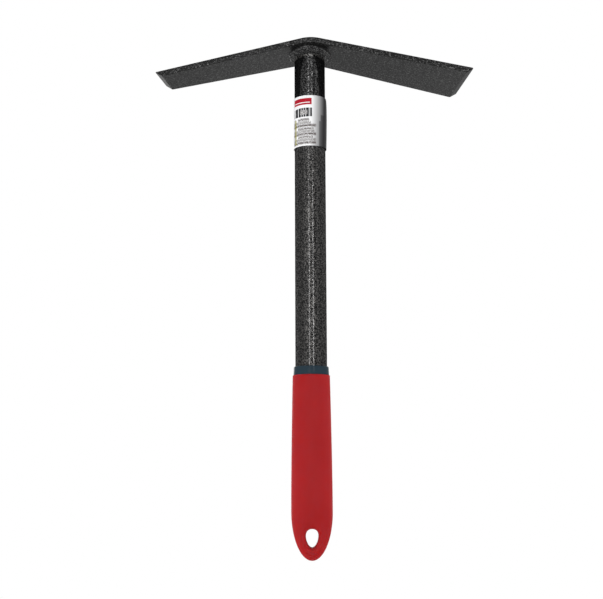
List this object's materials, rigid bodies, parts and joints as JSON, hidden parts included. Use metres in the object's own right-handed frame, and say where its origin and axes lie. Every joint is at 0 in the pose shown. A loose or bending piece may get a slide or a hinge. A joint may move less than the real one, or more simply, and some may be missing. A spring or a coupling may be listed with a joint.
{
  "type": "hand mattock",
  "caption": "Short hand mattock: bent steel plate with a narrow and a wide bevelled blade, welded to a painted steel tube with a soft grip that ends in a hang hole.",
  "frame": {"origin": "on the handle axis at the underside of the head plate's bend, where the handle meets the plate", "axes": "+Z along the handle towards the head (upright as in the picture), +X towards the wide blade, +Y away from the camera; the cutting edges run along Y"},
  "size_m": [0.226, 0.056, 0.3666],
  "materials": {
    "plate_paint": "dark grey textured paint, satin",
    "tube_paint": "black and silver vein paint, semi-gloss",
    "label_film": "printed film, semi-gloss",
    "hard_plastic": "moulded, satin",
    "soft_rubber": "soft-touch moulded, matte"
  },
  "bodies": {
    "root": {"head_plate": "plate_paint", "weld_bead": "plate_paint", "handle_tube": "tube_paint", "label_wrap": "label_film", "grip_core": "hard_plastic", "grip_overmould": "soft_rubber"}
  },
  "joints": []
}
